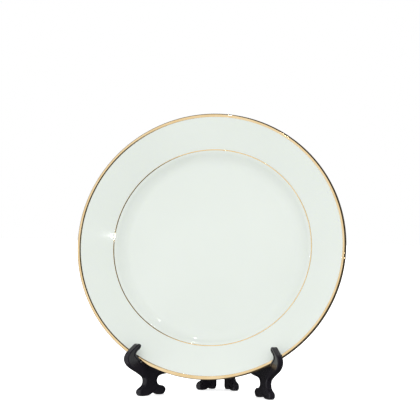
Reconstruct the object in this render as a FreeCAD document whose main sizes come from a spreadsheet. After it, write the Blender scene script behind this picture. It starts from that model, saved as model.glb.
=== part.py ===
# China dinner plate standing in its folding display stand.
#
# Row frame: +Z up, the plate's face looks towards -Y, +X is to the right of somebody
# facing the plate.  The origin is the middle of the footprint at floor level.
#
# Each stand leaf is drawn in its own plane: "along" is the distance forward from the
# hinge axis and "up" is the height above the floor.  The plate is drawn as a half
# section: "radius" from its axis and "rise", which is zero at the top of the lip.
import os
import FreeCAD
import Part
import Sketcher
from math import cos, radians, sin, tan

DIMENSIONS = [
    # plate
    ("plate_radius", 133.5),
    ("lip_round", 2.0),
    ("flange_slope", 18.5),
    ("flange_inner_radius", 98.0),
    ("shoulder_round", 10.0),
    ("cavetto_slope", 40.0),
    ("cavetto_round", 20.0),
    ("back_slope", 19.5),
    ("back_flange_radius", 99.5),
    ("floor_thickness", 4.3),
    ("foot_ring_radius", 78.6),
    ("foot_ring_width", 4.2),
    ("foot_ring_height", 3.1),
    ("foot_ring_edge", 1.1),
    ("foot_ring_fillet", 1.6),
    ("back_bulge", 0.35),
    # gilding
    ("gilding_thickness", 0.35),
    ("gilding_gap", 0.02),
    ("band_inner_radius", 129.9),
    ("verge_line_radius", 98.6),
    ("verge_line_width", 1.0),
    # how the plate stands
    ("plate_lean", 11.15),
    ("plate_setback", 32.55),
    ("plate_height", 149.2),
    # stand
    ("hinge_setback", 71.33),
    ("leaf_half_angle", 26.0),
    ("leaf_thickness", 6.0),
    ("leaf_half_gap", 0.5),
    ("edge_round", 1.0),
    ("border_width", 2.2),
    ("panel_depth", 0.5),
    # hinge
    ("knuckle_radius", 5.0),
    ("knuckle_web", 9.0),
    ("knuckle_foot", 15.0),
    ("knuckle_length", 14.0),
    ("knuckle_gap", 0.4),
    ("pin_radius", 1.5),
    ("pin_overhang", 0.6),
    ("pin_head_radius", 2.7),
    ("pin_head_height", 1.2),
    ("pin_head_lift", 0.1),
    ("pin_chamfer", 0.35),
    ("pin_seat_clearance", 0.02),
    ("pin_running_clearance", 0.06),
]

doc = FreeCAD.newDocument("plate_and_stand")
sheet = doc.addObject("Spreadsheet::Sheet", "dims")
for row, (alias, value) in enumerate(DIMENSIONS, start=1):
    sheet.set("A%d" % row, alias)
    sheet.set("B%d" % row, str(value))
    sheet.setAlias("B%d" % row, alias)
doc.recompute()


def dim(alias):
    return float(sheet.get(alias))


def bind(obj, target, formula):
    obj.setExpression(target, formula)


def origin_plane(body, role):
    for feature in body.Origin.OriginFeatures:
        if feature.Role == role:
            return feature
    raise RuntimeError("no plane " + role)


def new_sketch(body, name, role):
    sketch = body.newObject("Sketcher::SketchObject", name)
    sketch.AttachmentSupport = [(origin_plane(body, role), "")]
    sketch.MapMode = "FlatFace"
    return sketch


def flat(point):
    return FreeCAD.Vector(point[0], point[1], 0)


def heading(start, step):
    """Direction of a straight step, or none for a round one."""
    return (flat(step[1]) - start).normalize() if step[0] == "line" else None


def pace_of(points):
    """Distance travelled along the points, used as the curve's own measure."""
    pace = [0.0]
    for start, end in zip(points, points[1:]):
        pace.append(pace[-1] + (end - start).Length)
    return pace


def smooth_curve(points, first, last):
    curve = Part.BSplineCurve()
    curve.interpolate(Points=points, Parameters=pace_of(points), Scale=False,
                      InitialTangent=first, FinalTangent=last)
    return curve


def inset(start, steps, distance):
    """The same outline of lines and curves moved inwards; the outline runs anticlockwise."""
    def moved(point, along):
        return (point.x - distance * along.y, point.y + distance * along.x)

    here, before = flat(start), None
    new_start, new_steps = None, []
    for number, step in enumerate(steps):
        points = [here] + [flat(point) for point in step[1:]]
        after = heading(points[-1], steps[(number + 1) % len(steps)])
        own = heading(here, step)
        if own is None:
            curve = smooth_curve(points, before, after)
            ways = [curve.tangent(reach)[0] for reach in pace_of(points)]
        else:
            ways = [own, own]
        new_start = new_start or moved(here, ways[0])
        new_steps.append((step[0],) + tuple(moved(point, way) for point, way in zip(points[1:], ways[1:])))
        before, here = own, points[-1]
    return new_start, new_steps


def draw(sketch, start, steps):
    """Closed outline: each step is (kind, points...) and ends at its last point.

    A curve leaves and joins its straight neighbours without a corner.
    """
    here, before = flat(start), None
    for number, step in enumerate(steps):
        kind = step[0]
        points = [flat(point) for point in step[1:]]
        after = heading(points[-1], steps[(number + 1) % len(steps)])
        if kind == "line":
            sketch.addGeometry(Part.LineSegment(here, points[0]), False)
        elif kind == "arc":
            sketch.addGeometry(Part.Arc(here, points[0], points[1]), False)
        else:
            sketch.addGeometry(smooth_curve([here] + points, before, after), False)
        before = heading(here, step)
        here = points[-1]


def on_circle(centre, radius, degrees):
    return (centre[0] + radius * cos(radians(degrees)), centre[1] + radius * sin(radians(degrees)))


# ---------------------------------------------------------------- plate

# the band ends this many degrees of lip before its seat does
BAND_STOP = 1


def lip_centre():
    return (dim("plate_radius") - dim("lip_round"), -dim("lip_round"))


def flange_front(radius, depth=0.0):
    """Point of the flange's front face, or of the same face sunk by depth."""
    slope = radians(dim("flange_slope"))
    at_lip = on_circle(lip_centre(), dim("lip_round"), 90 + dim("flange_slope"))
    rise = at_lip[1] - (at_lip[0] - radius) * tan(slope)
    return (radius, rise - depth / cos(slope))


def lip_point(depth, degrees):
    return on_circle(lip_centre(), dim("lip_round") - depth, degrees)


def well_corner():
    """Where the flat well floor meets the cavetto, and where the cavetto meets the shoulder."""
    low, high = radians(dim("flange_slope")), radians(dim("cavetto_slope"))
    shoulder, hollow = dim("shoulder_round"), dim("cavetto_round")
    outer = flange_front(dim("flange_inner_radius"))
    middle = (outer[0] - shoulder * (sin(high) - sin(low)), outer[1] - shoulder * (cos(low) - cos(high)))
    inner = (middle[0] - hollow * sin(high), middle[1] - hollow * (1 - cos(high)))
    return inner, middle, outer


def halfway(first, last, push):
    """Middle of a chord, pushed square off it, as the mid point of an arc."""
    across, along = last[0] - first[0], last[1] - first[1]
    length = (across ** 2 + along ** 2) ** 0.5
    middle = ((first[0] + last[0]) / 2, (first[1] + last[1]) / 2)
    return (middle[0] + push * along / length, middle[1] - push * across / length)


def arc_push(radius, degrees):
    return radius * (1 - cos(radians(degrees) / 2))


def lip_angles():
    """Where the lip's round starts, its middle and its end, in degrees from the radius."""
    front, back = 90 + dim("flange_slope"), dim("back_slope") - 90
    return front, (front + back) / 2, back


def seat_depth():
    return dim("gilding_thickness") + dim("gilding_gap")


def rounded(first, corner, last):
    """Quarter circle that rounds a square corner, ending at its last point."""
    share = 1 - cos(radians(45))
    middle = tuple(c + share * (a - c + b - c) for a, c, b in zip(first, corner, last))
    return ("arc", middle, last)


def well_steps():
    """Floor of the well, cavetto and shoulder, out to the flange."""
    inner, middle, outer = well_corner()
    cavetto_push = arc_push(dim("cavetto_round"), dim("cavetto_slope"))
    shoulder_push = arc_push(dim("shoulder_round"), dim("cavetto_slope") - dim("flange_slope"))
    return [
        ("line", inner),
        ("arc", halfway(inner, middle, cavetto_push), middle),
        ("arc", halfway(middle, outer, -shoulder_push), outer),
    ]


def front_steps():
    """Flange and lip, with a shallow seat under each piece of gilding."""
    depth, gap = seat_depth(), dim("gilding_gap")
    half_line = dim("verge_line_width") / 2 + gap
    line_in, line_out = dim("verge_line_radius") - half_line, dim("verge_line_radius") + half_line
    band_in = dim("band_inner_radius") - gap
    front, middle, back = lip_angles()
    return [
        ("line", flange_front(line_in)),
        ("line", flange_front(line_in, depth)),
        ("line", flange_front(line_out, depth)),
        ("line", flange_front(line_out)),
        ("line", flange_front(band_in)),
        ("line", flange_front(band_in, depth)),
        ("line", lip_point(depth, front)),
        ("arc", lip_point(depth, middle), lip_point(depth, back)),
        ("line", lip_point(0, back)),
    ]


def back_steps(base):
    """Back of the flange, the curve down to the foot ring, the ring and the base inside it."""
    lip_end = lip_point(0, lip_angles()[2])
    verge = dim("back_flange_radius")
    under_flange = (verge, lip_end[1] - (lip_end[0] - verge) * tan(radians(dim("back_slope"))))
    half_width, edge, fillet = dim("foot_ring_width") / 2, dim("foot_ring_edge"), dim("foot_ring_fillet")
    out, into = dim("foot_ring_radius") + half_width, dim("foot_ring_radius") - half_width
    low = base - dim("foot_ring_height")
    beside_ring = (out + fillet, base)
    return [
        ("line", under_flange),
        ("arc", halfway(under_flange, beside_ring, -dim("back_bulge")), beside_ring),
        rounded(beside_ring, (out, base), (out, base - fillet)),
        ("line", (out, low + edge)),
        rounded((out, low + edge), (out, low), (out - edge, low)),
        ("line", (into + edge, low)),
        rounded((into + edge, low), (into, low), (into, low + edge)),
        ("line", (into, base - fillet)),
        rounded((into, base - fillet), (into, base), (into - fillet, base)),
        ("line", (0, base)),
    ]


def revolved_body(name, start, steps):
    body = doc.addObject("PartDesign::Body", name)
    body.Label = name
    sketch = new_sketch(body, name + "_section", "XZ_Plane")
    draw(sketch, start, steps)
    spin = body.newObject("PartDesign::Revolution", name + "_spin")
    spin.Profile = sketch
    spin.ReferenceAxis = (sketch, ["V_Axis"])
    spin.Angle = 360
    sketch.Visibility = False
    body.Tip = spin
    return body


def stand_plate_up(body):
    body.Placement.Rotation = FreeCAD.Rotation(FreeCAD.Vector(1, 0, 0), 90 - dim("plate_lean"))
    bind(body, "Placement.Rotation.Angle", "90 - dims.plate_lean")
    bind(body, "Placement.Base.y", "-dims.plate_setback")
    bind(body, "Placement.Base.z", "dims.plate_height")


def build_porcelain():
    well_rise = well_corner()[0][1]
    centre = (0, well_rise)
    steps = well_steps() + front_steps() + back_steps(well_rise - dim("floor_thickness"))
    body = revolved_body("plate_body", centre, steps + [("line", centre)])
    stand_plate_up(body)
    return body


def build_rim_band():
    thick = dim("gilding_thickness")
    front, middle, back = lip_angles()
    end = back + BAND_STOP
    start = flange_front(dim("band_inner_radius"))
    steps = [
        ("line", lip_point(0, front)),
        ("arc", lip_point(0, middle), lip_point(0, end)),
        ("line", lip_point(thick, end)),
        ("arc", lip_point(thick, middle), lip_point(thick, front)),
        ("line", flange_front(dim("band_inner_radius"), thick)),
        ("line", start),
    ]
    body = revolved_body("gilt_rim_band", start, steps)
    stand_plate_up(body)
    return body


def build_verge_line():
    thick = dim("gilding_thickness")
    inner = dim("verge_line_radius") - dim("verge_line_width") / 2
    outer = dim("verge_line_radius") + dim("verge_line_width") / 2
    start = flange_front(inner)
    steps = [
        ("line", flange_front(outer)),
        ("line", flange_front(outer, thick)),
        ("line", flange_front(inner, thick)),
        ("line", start),
    ]
    body = revolved_body("gilt_verge_line", start, steps)
    stand_plate_up(body)
    return body


# ---------------------------------------------------------------- stand

# rear upright edge of a leaf, and the height where its top edge meets it
REAR_EDGE = 7.4
HINGE_TOP = 60.0
KNUCKLES = 3


def leaf_outline():
    """One leaf: hooked front foot, leaning upright with a scrolled top, rear foot."""
    start = (REAR_EDGE, HINGE_TOP)
    steps = [
        ("line", (REAR_EDGE, 4.4)),
        # rear foot, two toes
        ("curve", (8.6, 1.2), (11.8, 0)),
        ("line", (13.6, 0)),
        ("curve", (16.4, 1.2), (19.0, 2.4), (22.0, 1.8), (25.6, 0.4), (28.8, 0)),
        ("line", (33.0, 0)),
        # round the rear foot, over the arch between the feet and down to the front foot
        ("curve", (36.9, 1.5), (38.1, 4.6), (36.0, 7.5), (31.0, 9.3), (26.6, 12.2), (24.6, 16.8),
         (27.2, 22.2), (34.5, 26.6), (50.0, 28.6), (70.0, 25.4), (88.0, 21.4), (100.0, 20.1),
         (108.6, 19.2), (113.4, 16.9), (114.6, 13.8), (112.6, 10.9), (107.6, 9.3), (102.6, 8.2),
         (99.6, 4.9), (101.4, 1.6), (105.2, 0)),
        # front foot, two toes
        ("line", (109.0, 0)),
        ("curve", (113.6, 1.2), (118.0, 2.6), (122.4, 2.0), (127.0, 0.5), (131.6, 0)),
        ("line", (138.0, 0)),
        # up the front to the hook, round its tip and down into the slot that holds the rim
        ("curve", (141.8, 1.3), (143.3, 4.2), (141.0, 7.1), (136.0, 9.3), (132.9, 12.8), (133.2, 16.4),
         (137.5, 20.0), (147.0, 24.3), (156.6, 28.5), (162.8, 33.2), (164.6, 38.0), (161.4, 43.0),
         (155.4, 47.0), (149.4, 50.4), (145.8, 51.6), (143.0, 50.2), (143.4, 47.8), (146.4, 45.4),
         (149.9, 43.2), (151.0, 41.2), (149.2, 39.5), (146.0, 37.6), (142.6, 34.2), (138.2, 32.3),
         (134.0, 33.6), (129.7, 38.6), (124.3, 49.4), (116.1, 60.6), (108.3, 69.8), (103.0, 77.5)),
        # straight rest, scrolled top and the sweep back to the hinge
        ("line", (90.5, 134.6)),
        ("curve", (89.0, 141.2), (85.8, 146.2), (80.8, 148.0), (76.2, 145.6), (74.6, 140.4),
         (77.2, 135.4), (80.4, 130.2), (80.8, 122.0), (79.8, 111.0), (82.4, 99.0), (84.8, 87.6),
         (83.0, 76.4), (75.6, 67.0), (62.0, 59.8), (46.0, 56.2), (32.0, 57.2), (22.0, 60.2),
         (13.0, 62.6), start),
    ]
    return start, steps


def leaf_slab(body, name, side):
    sketch = new_sketch(body, name + "_outline", "XZ_Plane")
    bind(sketch, "AttachmentOffset.Base.z", "%d * dims.leaf_half_gap" % side)
    draw(sketch, *leaf_outline())
    slab = body.newObject("PartDesign::Pad", name + "_slab")
    slab.Profile = sketch
    slab.Reversed = side < 0
    bind(slab, "Length", "dims.leaf_thickness")
    sketch.Visibility = False
    doc.recompute()
    return slab


def face_edges(slab):
    """Names of the edges that run round the two flat faces of the slab."""
    names = []
    for number, edge in enumerate(slab.Shape.Edges, start=1):
        box = edge.BoundBox
        if box.YLength < dim("leaf_thickness") / 2:
            names.append("Edge%d" % number)
    return names


def round_edges(body, name, slab):
    rounded = body.newObject("PartDesign::Fillet", name + "_edges")
    rounded.Base = (slab, face_edges(slab))
    bind(rounded, "Radius", "dims.edge_round")
    doc.recompute()
    return rounded


def knuckle_level(order):
    """Formula for the foot of a knuckle, counted upwards from zero."""
    return "dims.knuckle_foot + %d * (dims.knuckle_length + dims.knuckle_gap)" % order


def add_knuckle(body, name, side, order):
    """Barrel round the hinge axis with the web that ties it to the slab."""
    radius, web = dim("knuckle_radius"), dim("knuckle_web")
    near = -side * dim("leaf_half_gap")
    reach = (radius ** 2 - near ** 2) ** 0.5
    sketch = new_sketch(body, "%s_knuckle_section_%d" % (name, order), "XY_Plane")
    bind(sketch, "AttachmentOffset.Base.z", knuckle_level(order))
    draw(sketch, (web, near), [
        ("line", (web, -side * radius)),
        ("line", (0, -side * radius)),
        ("arc", (-radius, 0), (0, side * radius)),
        ("arc", on_circle((0, 0), radius, side * 45), (reach, near)),
        ("line", (web, near)),
    ])
    knuckle = body.newObject("PartDesign::Pad", "%s_knuckle_%d" % (name, order))
    knuckle.Profile = sketch
    bind(knuckle, "Length", "dims.knuckle_length")
    sketch.Visibility = False
    doc.recompute()


def bore_hinge(body, name, clearance):
    sketch = new_sketch(body, name + "_bore_circle", "XY_Plane")
    upright = FreeCAD.Vector(0, 0, 1)
    circle = sketch.addGeometry(Part.Circle(FreeCAD.Vector(0, 0, 0), upright, dim("pin_radius")), False)
    sketch.addConstraint(Sketcher.Constraint("Coincident", circle, 3, -1, 1))
    sketch.addConstraint(Sketcher.Constraint("Radius", circle, dim("pin_radius")))
    bind(sketch, "Constraints[1]", "dims.pin_radius + dims." + clearance)
    bore = body.newObject("PartDesign::Pocket", name + "_bore")
    bore.Profile = sketch
    bore.Type = "ThroughAll"
    bore.Reversed = True
    sketch.Visibility = False
    doc.recompute()
    body.Tip = bore
    return bore


def sink_panels(body, name, side):
    """Shallow panel inside a narrow border, on both faces of the leaf."""
    levels = {"near": "dims.leaf_half_gap", "far": "(dims.leaf_half_gap + dims.leaf_thickness)"}
    for face, level in levels.items():
        sketch = new_sketch(body, "%s_%s_panel_outline" % (name, face), "XZ_Plane")
        bind(sketch, "AttachmentOffset.Base.z", "%d * %s" % (side, level))
        draw(sketch, *inset(*leaf_outline(), dim("border_width")))
        panel = body.newObject("PartDesign::Pocket", "%s_%s_panel" % (name, face))
        panel.Profile = sketch
        panel.Reversed = (side > 0) == (face == "near")
        bind(panel, "Length", "dims.panel_depth")
        sketch.Visibility = False
        doc.recompute()
        body.Tip = panel


def turn_leaf(body, side):
    body.Placement.Rotation = FreeCAD.Rotation(FreeCAD.Vector(0, 0, 1), -90 - side * dim("leaf_half_angle"))
    bind(body, "Placement.Rotation.Angle", "-90 - %d * dims.leaf_half_angle" % side)
    bind(body, "Placement.Base.y", "dims.hinge_setback")


def build_leaf(name, side, knuckles, clearance):
    """side is +1 for the leaf on the -X side and -1 for the one on the +X side."""
    body = doc.addObject("PartDesign::Body", name)
    body.Label = name
    slab = leaf_slab(body, name, side)
    round_edges(body, name, slab)
    sink_panels(body, name, side)
    for order in knuckles:
        add_knuckle(body, name, side, order)
    bore_hinge(body, name, clearance)
    turn_leaf(body, side)
    return body


def build_pin():
    """Headed steel pin: the head rests on the top knuckle."""
    foot = dim("knuckle_foot") - dim("pin_overhang")
    barrel = KNUCKLES * dim("knuckle_length") + (KNUCKLES - 1) * dim("knuckle_gap")
    seat = dim("knuckle_foot") + barrel + dim("pin_head_lift")
    crown = seat + dim("pin_head_height")
    radius, head = dim("pin_radius"), dim("pin_head_radius")
    chamfer = dim("pin_chamfer")
    crown_round = 2 * chamfer
    brow = (head - crown_round, crown - crown_round)
    steps = [
        ("line", (radius - chamfer, foot)),
        ("line", (radius, foot + chamfer)),
        ("line", (radius, seat)),
        ("line", (head, seat)),
        ("line", (head, brow[1])),
        ("arc", on_circle(brow, crown_round, 45), (brow[0], crown)),
        ("line", (0, crown)),
        ("line", (0, foot)),
    ]
    body = revolved_body("hinge_pin", (0, foot), steps)
    bind(body, "Placement.Base.y", "dims.hinge_setback")
    return body


def check(obj):
    if "Invalid" in obj.State or "Error" in obj.State:
        raise RuntimeError("%s did not build" % obj.Label)


def main():
    parts = [
        build_porcelain(),
        build_rim_band(),
        build_verge_line(),
        build_leaf("left_leaf", 1, (0, 2), "pin_seat_clearance"),
        build_leaf("right_leaf", -1, (1,), "pin_running_clearance"),
        build_pin(),
    ]
    doc.recompute()
    for obj in doc.Objects:
        check(obj)
    os.makedirs("parts", exist_ok=True)
    for body in parts:
        if body.Shape.isNull() or not body.Shape.isValid():
            raise RuntimeError("%s has no valid shape" % body.Label)
        body.Shape.exportStep(os.path.join("parts", body.Label + ".step"))
        box = body.Shape.optimalBoundingBox()
        print(body.Label, len(body.Shape.Solids), round(body.Shape.Volume, 1), [
            round(value, 2) for value in (box.XMin, box.XMax, box.YMin, box.YMax, box.ZMin, box.ZMax)])


main()
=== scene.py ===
"""White china dinner plate with gilding, standing in its black folding display stand.

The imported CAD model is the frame: +Z up, the plate looks towards -Y, metres.
"""
from math import cos, hypot, pi, radians, sin, tan

import bmesh
import bpy
from mathutils import Matrix, Vector


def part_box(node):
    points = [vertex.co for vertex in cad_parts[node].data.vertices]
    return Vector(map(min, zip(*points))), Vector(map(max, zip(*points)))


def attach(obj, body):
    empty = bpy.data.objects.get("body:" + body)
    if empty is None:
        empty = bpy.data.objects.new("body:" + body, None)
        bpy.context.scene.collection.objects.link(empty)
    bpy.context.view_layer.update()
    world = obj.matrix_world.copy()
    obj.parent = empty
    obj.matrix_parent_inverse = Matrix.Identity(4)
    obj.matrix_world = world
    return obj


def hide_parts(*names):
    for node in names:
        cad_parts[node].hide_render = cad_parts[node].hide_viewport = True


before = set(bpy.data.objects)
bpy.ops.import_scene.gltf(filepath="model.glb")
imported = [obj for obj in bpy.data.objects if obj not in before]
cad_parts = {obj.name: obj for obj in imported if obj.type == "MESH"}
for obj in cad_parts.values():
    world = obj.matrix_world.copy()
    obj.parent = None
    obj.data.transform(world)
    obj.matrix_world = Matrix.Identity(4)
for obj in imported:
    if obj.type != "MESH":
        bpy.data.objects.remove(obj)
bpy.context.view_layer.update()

MM = 0.001

# ------------------------------------------------------------------ plate section
# The half section is (radius, rise) in millimetres; rise 0 is the top of the lip.
PLATE_LEAN = radians(11.15)
RIM_RADIUS = 133.5
LIP_ROUND = 2.0
FLANGE_SLOPE = radians(18.5)
FLANGE_INNER_RADIUS = 98.0
SHOULDER_ROUND = 10.0
CAVETTO_SLOPE = radians(40.0)
CAVETTO_ROUND = 20.0
BACK_SLOPE = radians(19.5)
BACK_FLANGE_RADIUS = 99.5
FLOOR_THICKNESS = 4.3
RING_RADIUS = 78.6
RING_WIDTH = 4.2
RING_HEIGHT = 3.1
RING_EDGE = 1.1
RING_FILLET = 1.6
BACK_BULGE = 0.35
BAND_INNER_RADIUS = 129.9
LINE_RADIUS = 98.6
LINE_WIDTH = 1.0
GILDING_SINK = 0.06
SEAT_STEP = 0.02
SEAT_MARGIN = 0.2
BAND_FRONT_END = 0.7
TURNS = 384
ON_AXIS = 1e-6

# how many parts each stretch of the section is cut into
WELL_PARTS = 40
CAVETTO_PARTS = 18
SHOULDER_PARTS = 10
FLANGE_PARTS = 30
LIP_SEAT_PARTS = 20
BACK_FLANGE_PARTS = 16
BACK_BULGE_PARTS = 12
RING_FILLET_PARTS = 6
RING_EDGE_PARTS = 5
BASE_PARTS = 24
GILDING_FRONT_PARTS = 4
GILDING_LIP_PARTS = 24


def arc(centre, radius, first, last, count):
    """Points of a circular arc; angles in radians."""
    return [
        (centre[0] + radius * cos(first + (last - first) * i / count),
         centre[1] + radius * sin(first + (last - first) * i / count))
        for i in range(count + 1)
    ]


def straight(first, last, count):
    return [
        (first[0] + (last[0] - first[0]) * i / count,
         first[1] + (last[1] - first[1]) * i / count)
        for i in range(count + 1)
    ]


def rounded(first, corner, last, count):
    """Quarter circle that rounds a square corner of the section."""
    angles = [pi / 2 * i / count for i in range(count + 1)]
    share = [(1 - cos(angle), 1 - sin(angle)) for angle in angles]
    return [
        (corner[0] + back * (first[0] - corner[0]) + ahead * (last[0] - corner[0]),
         corner[1] + back * (first[1] - corner[1]) + ahead * (last[1] - corner[1]))
        for ahead, back in share
    ]


def bulged(first, last, bulge, count):
    """Shallow curve between two points, raised to the left of the way by a bulge."""
    length = hypot(last[0] - first[0], last[1] - first[1])
    across = ((first[1] - last[1]) / length, (last[0] - first[0]) / length)
    lifts = [4 * bulge * i / count * (1 - i / count) for i in range(count + 1)]
    return [
        (x + lift * across[0], y + lift * across[1])
        for (x, y), lift in zip(straight(first, last, count), lifts)
    ]


LIP_CENTRE = (RIM_RADIUS - LIP_ROUND, -LIP_ROUND)


def flange_point(radius, sink=0.0):
    """Point of the flange's front face, or of the same face sunk by a depth."""
    start = arc(LIP_CENTRE, LIP_ROUND, pi / 2 + FLANGE_SLOPE, 0, 1)[0]
    rise = start[1] - (start[0] - radius) * tan(FLANGE_SLOPE)
    return (radius, rise - sink / cos(FLANGE_SLOPE))


def well_points():
    """From the middle of the well to the inner end of the flange."""
    outer = flange_point(FLANGE_INNER_RADIUS)
    shoulder = (outer[0] + SHOULDER_ROUND * sin(FLANGE_SLOPE),
                outer[1] - SHOULDER_ROUND * cos(FLANGE_SLOPE))
    upper = arc(shoulder, SHOULDER_ROUND, pi / 2 + CAVETTO_SLOPE, pi / 2 + FLANGE_SLOPE,
                SHOULDER_PARTS)
    low = (upper[0][0] - CAVETTO_ROUND * sin(CAVETTO_SLOPE),
           upper[0][1] - CAVETTO_ROUND * (1 - cos(CAVETTO_SLOPE)))
    lower = arc((low[0], low[1] + CAVETTO_ROUND), CAVETTO_ROUND, -pi / 2, CAVETTO_SLOPE - pi / 2,
                CAVETTO_PARTS)
    return straight((0.0, low[1]), low, WELL_PARTS) + lower[1:] + upper[1:]


def back_points(base):
    """From the lip round the back to the middle of the base."""
    lip_end = arc(LIP_CENTRE, LIP_ROUND, BACK_SLOPE - pi / 2, 0, 1)[0]
    under_rise = lip_end[1] - (lip_end[0] - BACK_FLANGE_RADIUS) * tan(BACK_SLOPE)
    under_flange = (BACK_FLANGE_RADIUS, under_rise)
    out, into = RING_RADIUS + RING_WIDTH / 2, RING_RADIUS - RING_WIDTH / 2
    low = base - RING_HEIGHT
    beside_ring = (out + RING_FILLET, base)
    inside_ring = (into - RING_FILLET, base)
    points = straight(lip_end, under_flange, BACK_FLANGE_PARTS)
    points += bulged(under_flange, beside_ring, BACK_BULGE, BACK_BULGE_PARTS)[1:]
    points += rounded(beside_ring, (out, base), (out, base - RING_FILLET), RING_FILLET_PARTS)[1:]
    points += rounded((out, low + RING_EDGE), (out, low), (out - RING_EDGE, low), RING_EDGE_PARTS)
    points += rounded((into + RING_EDGE, low), (into, low), (into, low + RING_EDGE), RING_EDGE_PARTS)
    points += rounded((into, base - RING_FILLET), (into, base), inside_ring, RING_FILLET_PARTS)
    return points + straight(inside_ring, (0.0, base), BASE_PARTS)[1:]


def porcelain_section():
    """Half section from the axis round to the axis, with shallow seats for the gilding."""
    well = well_points()
    line_in, line_out = LINE_RADIUS - LINE_WIDTH / 2, LINE_RADIUS + LINE_WIDTH / 2
    sunk = LIP_ROUND - GILDING_SINK
    points = well + [
        flange_point(line_in - SEAT_STEP),
        flange_point(line_in, GILDING_SINK),
        flange_point(line_out, GILDING_SINK),
        flange_point(line_out + SEAT_STEP),
    ]
    free_in, free_out = line_out + SEAT_MARGIN, BAND_INNER_RADIUS - SEAT_MARGIN
    points += straight(flange_point(free_in), flange_point(free_out), FLANGE_PARTS)
    points += [
        flange_point(BAND_INNER_RADIUS - SEAT_STEP),
        flange_point(BAND_INNER_RADIUS, GILDING_SINK),
    ]
    points += arc(LIP_CENTRE, sunk, pi / 2 + FLANGE_SLOPE, BACK_SLOPE - pi / 2, LIP_SEAT_PARTS)
    return points + back_points(well[0][1] - FLOOR_THICKNESS)


def gilding_section(points, sink):
    """A thin closed strip: the outer line and the same line sunk into the glaze."""
    inner = []
    for i, point in enumerate(points):
        before, after = points[max(i - 1, 0)], points[min(i + 1, len(points) - 1)]
        along = (after[0] - before[0], after[1] - before[1])
        length = hypot(*along)
        inner.append((point[0] + sink * along[1] / length,
                      point[1] - sink * along[0] / length))
    return points + inner[::-1]


def band_section():
    front_end = flange_point(LIP_CENTRE[0] - BAND_FRONT_END)
    front = straight(flange_point(BAND_INNER_RADIUS), front_end, GILDING_FRONT_PARTS)
    lip = arc(LIP_CENTRE, LIP_ROUND, pi / 2 + FLANGE_SLOPE, BACK_SLOPE - pi / 2, GILDING_LIP_PARTS)
    return gilding_section(front + lip, GILDING_SINK)


def line_section():
    inner, outer = LINE_RADIUS - LINE_WIDTH / 2, LINE_RADIUS + LINE_WIDTH / 2
    face = straight(flange_point(inner), flange_point(outer), GILDING_FRONT_PARTS)
    return gilding_section(face, GILDING_SINK)


def plate_matrix():
    """Where the plate stands: its axis leans back, its lip plane's middle is the origin.

    The middle is found from the rim band's box: its highest and its foremost point both lie
    on the rounded lip.
    """
    low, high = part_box("gilt_rim_band")
    turn = Matrix.Rotation(pi / 2 - PLATE_LEAN, 4, "X")
    top = RIM_RADIUS - LIP_ROUND
    lift = (top * cos(PLATE_LEAN) + LIP_ROUND - LIP_ROUND * sin(PLATE_LEAN)) * MM
    setback = (top * sin(PLATE_LEAN) + LIP_ROUND - LIP_ROUND * cos(PLATE_LEAN)) * MM
    centre = Vector(((low.x + high.x) / 2, low.y + setback, high.z - lift))
    return Matrix.Translation(centre) @ turn


def ring_of_verts(build, radius, rise):
    """Corners of one turn round the axis; on the axis itself, a single corner."""
    if radius < ON_AXIS:
        return [build.verts.new((0, 0, rise * MM))]
    angles = [2 * pi * i / TURNS for i in range(TURNS)]
    return [
        build.verts.new((radius * MM * cos(angle), radius * MM * sin(angle), rise * MM))
        for angle in angles
    ]


def join_rings(build, first, second):
    """Faces between two neighbouring turns; triangles where one of them is a single corner."""
    for i in range(TURNS):
        j = (i + 1) % TURNS
        corners = [
            first[i % len(first)],
            second[i % len(second)],
            second[j % len(second)],
            first[j % len(first)],
        ]
        unique = list(dict.fromkeys(corners))
        if len(unique) > 2:
            build.faces.new(unique)


def revolve(name, section, closed):
    """Turns a half section round the plate's axis and sets the result in its place."""
    mesh = bpy.data.meshes.new(name)
    build = bmesh.new()
    rings = [ring_of_verts(build, radius, rise) for radius, rise in section]
    following = rings[1:] + rings[:1] if closed else rings[1:]
    for first, second in zip(rings, following):
        join_rings(build, first, second)
    bmesh.ops.recalc_face_normals(build, faces=build.faces)
    build.to_mesh(mesh)
    build.free()
    mesh.transform(plate_matrix())
    mesh.polygons.foreach_set("use_smooth", [True] * len(mesh.polygons))
    piece = bpy.data.objects.new(name, mesh)
    bpy.context.scene.collection.objects.link(piece)
    return piece


# ------------------------------------------------------------------ materials
# each noise runs from the first colour to the second, each roughness from low to high
GLAZE_COLOURS = (0.77, 0.82, 0.77), (0.785, 0.835, 0.785)
GLAZE_ROUGHNESS = 0.05, 0.09
GLAZE_NOISE_SCALE = 14.0
GLAZE_IOR = 1.5
GLAZE_SPECULAR = 0.4
GLAZE_SUBSURFACE = 0.08
GLAZE_SUBSURFACE_RADIUS = (0.004, 0.004, 0.003)
GLAZE_BUMP = 0.05, 0.0004
GOLD_COLOURS = (0.82, 0.61, 0.33), (0.90, 0.70, 0.42)
GOLD_ROUGHNESS = 0.05, 0.10
GOLD_NOISE_SCALE = 60.0
PLASTIC_COLOURS = (0.011, 0.0095, 0.014), (0.016, 0.014, 0.020)
PLASTIC_ROUGHNESS = 0.2, 0.32
PLASTIC_NOISE_SCALE = 40.0
PLASTIC_IOR = 1.45
PLASTIC_SPECULAR = 0.35
PLASTIC_BUMP = 0.08, 0.0003
STEEL_COLOURS = (0.42, 0.42, 0.43), (0.60, 0.60, 0.61)
STEEL_ROUGHNESS = 0.22, 0.38
STEEL_NOISE_SCALE = 300.0
DRAWN_ALONG_PIN = (1, 1, 0.04)
FLOOR_COLOURS = (0.90, 0.90, 0.90), (0.92, 0.92, 0.92)
FLOOR_ROUGHNESS = 0.8
FLOOR_NOISE_SCALE = 3.0
FLOOR_SPECULAR = 0.1
FLOOR_GLOW = 0.75
NOISE_DETAIL = 3.0
NOISE_LOW = 0.35
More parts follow.
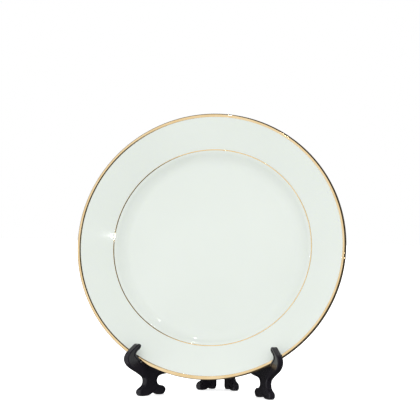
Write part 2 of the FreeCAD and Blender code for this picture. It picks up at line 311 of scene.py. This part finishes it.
NOISE_HIGH = 0.65


def new_material(name):
    material = bpy.data.materials.new(name)
    material.use_nodes = True
    nodes = material.node_tree.nodes
    return material, nodes, material.node_tree.links, nodes["Principled BSDF"]


def noise_between(nodes, links, scale, colours, stretch=(1, 1, 1)):
    """Noise in object space, turned into a colour between the two given."""
    place = nodes.new("ShaderNodeTexCoord")
    mapping = nodes.new("ShaderNodeMapping")
    noise = nodes.new("ShaderNodeTexNoise")
    ramp = nodes.new("ShaderNodeValToRGB")
    mapping.inputs["Scale"].default_value = stretch
    noise.inputs["Scale"].default_value = scale
    noise.inputs["Detail"].default_value = NOISE_DETAIL
    for element, position, colour in zip(ramp.color_ramp.elements, (NOISE_LOW, NOISE_HIGH), colours):
        element.position = position
        element.color = (*colour, 1)
    links.new(place.outputs["Object"], mapping.inputs["Vector"])
    links.new(mapping.outputs["Vector"], noise.inputs["Vector"])
    links.new(noise.outputs["Fac"], ramp.inputs["Fac"])
    return noise, ramp


def add_bump(nodes, links, shader, noise, strength, distance):
    bump = nodes.new("ShaderNodeBump")
    bump.inputs["Strength"].default_value = strength
    bump.inputs["Distance"].default_value = distance
    links.new(noise.outputs["Fac"], bump.inputs["Height"])
    links.new(bump.outputs["Normal"], shader.inputs["Normal"])


def roughness_between(nodes, links, shader, noise, low, high):
    spread = nodes.new("ShaderNodeMapRange")
    spread.inputs["To Min"].default_value = low
    spread.inputs["To Max"].default_value = high
    links.new(noise.outputs["Fac"], spread.inputs["Value"])
    links.new(spread.outputs["Result"], shader.inputs["Roughness"])


def glaze_material():
    material, nodes, links, shader = new_material("glazed_porcelain")
    noise, ramp = noise_between(nodes, links, GLAZE_NOISE_SCALE, GLAZE_COLOURS)
    links.new(ramp.outputs["Color"], shader.inputs["Base Color"])
    roughness_between(nodes, links, shader, noise, *GLAZE_ROUGHNESS)
    shader.inputs["IOR"].default_value = GLAZE_IOR
    shader.inputs["Specular IOR Level"].default_value = GLAZE_SPECULAR
    shader.inputs["Subsurface Weight"].default_value = GLAZE_SUBSURFACE
    shader.inputs["Subsurface Radius"].default_value = GLAZE_SUBSURFACE_RADIUS
    shader.inputs["Subsurface Scale"].default_value = 1.0
    add_bump(nodes, links, shader, noise, *GLAZE_BUMP)
    return material


def gold_material():
    material, nodes, links, shader = new_material("burnished_gold")
    noise, ramp = noise_between(nodes, links, GOLD_NOISE_SCALE, GOLD_COLOURS)
    links.new(ramp.outputs["Color"], shader.inputs["Base Color"])
    roughness_between(nodes, links, shader, noise, *GOLD_ROUGHNESS)
    shader.inputs["Metallic"].default_value = 1.0
    return material


def plastic_material():
    material, nodes, links, shader = new_material("black_plastic")
    noise, ramp = noise_between(nodes, links, PLASTIC_NOISE_SCALE, PLASTIC_COLOURS)
    links.new(ramp.outputs["Color"], shader.inputs["Base Color"])
    roughness_between(nodes, links, shader, noise, *PLASTIC_ROUGHNESS)
    shader.inputs["IOR"].default_value = PLASTIC_IOR
    shader.inputs["Specular IOR Level"].default_value = PLASTIC_SPECULAR
    add_bump(nodes, links, shader, noise, *PLASTIC_BUMP)
    return material


def steel_material():
    material, nodes, links, shader = new_material("drawn_steel")
    noise, ramp = noise_between(nodes, links, STEEL_NOISE_SCALE, STEEL_COLOURS, DRAWN_ALONG_PIN)
    links.new(ramp.outputs["Color"], shader.inputs["Base Color"])
    roughness_between(nodes, links, shader, noise, *STEEL_ROUGHNESS)
    shader.inputs["Metallic"].default_value = 1.0
    return material


def floor_material():
    material, nodes, links, shader = new_material("studio_floor")
    _, ramp = noise_between(nodes, links, FLOOR_NOISE_SCALE, FLOOR_COLOURS)
    links.new(ramp.outputs["Color"], shader.inputs["Base Color"])
    links.new(ramp.outputs["Color"], shader.inputs["Emission Color"])
    shader.inputs["Emission Strength"].default_value = FLOOR_GLOW
    shader.inputs["Roughness"].default_value = FLOOR_ROUGHNESS
    shader.inputs["Specular IOR Level"].default_value = FLOOR_SPECULAR
    return material


# ------------------------------------------------------------------ pieces

def dress(piece, material):
    piece.data.materials.clear()
    piece.data.materials.append(material)


def build_plate(glaze, gold):
    for name, section, material, slot, node in (
        ("plate_glazed", porcelain_section(), glaze, "porcelain", "plate_body"),
        ("rim_band_gold", band_section(), gold, "gilding", "gilt_rim_band"),
        ("verge_line_gold", line_section(), gold, "gilding", "gilt_verge_line"),
    ):
        piece = revolve(name, section, slot == "gilding")
        dress(piece, material)
        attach(piece, "plate")
        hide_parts(node)


def dress_stand(plastic, steel):
    for node in ("left_leaf", "right_leaf"):
        dress(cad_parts[node], plastic)
    dress(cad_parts["hinge_pin"], steel)


# ------------------------------------------------------------------ studio
FLOOR_SIZE = 40.0
FLOOR_DROP = 0.0002
CAMERA_AZIMUTH = radians(7.4)
CAMERA_DISTANCE = 2.0
CAMERA_HEIGHT = 0.166
CAMERA_ROLL = radians(1.0)
CAMERA_LENS = 172.5
CAMERA_AIM = Vector((-0.0037, -0.0137, 0.1835))
SENSOR = 36.0
WHITE = (1, 1, 1, 1)
SEEN_LIGHT = 1.0
SOFT_LIGHT = 0.97
SUN_STRENGTH = 0.3
SUN_WIDTH = radians(60)
SUN_FROM = (0.12, -0.64, 0.76)
# what gloss mirrors: a room that is light on the left, dark on the right and behind the plate
MIRRORED_LIGHT = 1.0
MIRRORED_DARK = 0.06
LIGHT_AZIMUTH = radians(-52)
LIGHT_INNER = radians(54)
LIGHT_OUTER = radians(68)
FLATTENING = (1.0, 1.0, 0.35)
# small lamps, as (name, azimuth and height in degrees, distance, size, power)
LAMPS = (
    ("lamp_right", 23.8, 18.3, 1.26, 0.020, 0.07),
    ("lamp_above", -8.0, 74.0, 1.2, 0.045, 0.40),
    ("lamp_high_right", 19.5, 53.5, 1.23, 0.045, 0.16),
)


def direction(azimuth, height):
    """Unit vector towards a place round the object; azimuth 0 is in front of the plate."""
    return Vector((sin(azimuth) * cos(height), -cos(azimuth) * cos(height), sin(height)))


def build_floor():
    mesh = bpy.data.meshes.new("floor")
    half = FLOOR_SIZE / 2
    corners = [(-half, -half, 0), (half, -half, 0), (half, half, 0), (-half, half, 0)]
    mesh.from_pydata(corners, [], [(0, 1, 2, 3)])
    floor = bpy.data.objects.new("floor", mesh)
    bpy.context.scene.collection.objects.link(floor)
    floor.location.z = -FLOOR_DROP
    floor.visible_diffuse = False
    floor.visible_glossy = False
    dress(floor, floor_material())


def background(nodes, strength):
    """A plain white light of one strength, for the world."""
    shader = nodes.new("ShaderNodeBackground")
    shader.inputs["Color"].default_value = WHITE
    shader.inputs["Strength"].default_value = strength
    return shader


def pick(nodes, links, ray, usual, special):
    """One shader for rays of a kind, another for the rest."""
    mix = nodes.new("ShaderNodeMixShader")
    links.new(ray, mix.inputs["Fac"])
    links.new(usual.outputs[0], mix.inputs[1])
    links.new(special.outputs[0], mix.inputs[2])
    return mix


def build_world():
    """White to the camera, even soft light on surfaces, and a room with a dark side for gloss."""
    world = bpy.data.worlds.new("studio")
    bpy.context.scene.world = world
    world.use_nodes = True
    nodes, links = world.node_tree.nodes, world.node_tree.links
    path = nodes.new("ShaderNodeLightPath")
    place = nodes.new("ShaderNodeTexCoord")
    flatten = nodes.new("ShaderNodeVectorMath")
    flatten.operation = "MULTIPLY"
    flatten.inputs[1].default_value = FLATTENING
    shorten = nodes.new("ShaderNodeVectorMath")
    shorten.operation = "NORMALIZE"
    toward = nodes.new("ShaderNodeVectorMath")
    toward.operation = "DOT_PRODUCT"
    toward.inputs[1].default_value = direction(LIGHT_AZIMUTH, 0)
    edge = nodes.new("ShaderNodeMapRange")
    edge.interpolation_type = "SMOOTHSTEP"
    edge.inputs["From Min"].default_value = cos(LIGHT_OUTER)
    edge.inputs["From Max"].default_value = cos(LIGHT_INNER)
    edge.inputs["To Min"].default_value = MIRRORED_DARK
    edge.inputs["To Max"].default_value = MIRRORED_LIGHT
    links.new(place.outputs["Generated"], flatten.inputs[0])
    links.new(flatten.outputs["Vector"], shorten.inputs[0])
    links.new(shorten.outputs["Vector"], toward.inputs[0])
    links.new(toward.outputs["Value"], edge.inputs["Value"])

    soft = background(nodes, SOFT_LIGHT)
    mirrored = background(nodes, MIRRORED_LIGHT)
    links.new(edge.outputs["Result"], mirrored.inputs["Strength"])
    seen = background(nodes, SEEN_LIGHT)
    unseen = pick(nodes, links, path.outputs["Is Glossy Ray"], soft, mirrored)
    whole = pick(nodes, links, path.outputs["Is Camera Ray"], unseen, seen)
    links.new(whole.outputs[0], nodes["World Output"].inputs["Surface"])


def add_light(name, kind, power):
    data = bpy.data.lights.new(name, kind)
    data.energy = power
    light = bpy.data.objects.new(name, data)
    bpy.context.scene.collection.objects.link(light)
    return light


def build_sun():
    """One wide soft light from the front and above, left out of reflections."""
    sun = add_light("sun", "SUN", SUN_STRENGTH)
    sun.data.angle = SUN_WIDTH
    sun.rotation_euler = (-Vector(SUN_FROM)).to_track_quat("-Z", "Y").to_euler()
    sun.visible_glossy = False


def build_lamps():
    """Small lamps that show as soft spots in the glaze and on the black plastic."""
    low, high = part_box("plate_body")
    middle = (low + high) / 2
    for name, azimuth, height, distance, size, power in LAMPS:
        way = direction(radians(azimuth), radians(height))
        lamp = add_light(name, "AREA", power)
        lamp.data.shape = "DISK"
        lamp.data.size = size
        lamp.location = middle + way * distance
        lamp.rotation_euler = (-way).to_track_quat("-Z", "Y").to_euler()


def build_camera():
    data = bpy.data.cameras.new("camera")
    data.sensor_width = SENSOR
    data.lens = CAMERA_LENS
    data.clip_end = FLOOR_SIZE
    camera = bpy.data.objects.new("camera", data)
    bpy.context.scene.collection.objects.link(camera)
    bpy.context.scene.camera = camera
    place = Vector((0, CAMERA_AIM.y, CAMERA_HEIGHT)) + CAMERA_DISTANCE * direction(CAMERA_AZIMUTH, 0)
    look = (CAMERA_AIM - place).to_track_quat("-Z", "Y").to_matrix().to_4x4()
    camera.matrix_world = Matrix.Translation(place) @ look @ Matrix.Rotation(CAMERA_ROLL, 4, "Z")


def build_studio():
    build_floor()
    build_world()
    build_sun()
    build_lamps()
    build_camera()
    bpy.context.scene.view_settings.view_transform = "Standard"


build_plate(glaze_material(), gold_material())
dress_stand(plastic_material(), steel_material())
build_studio()
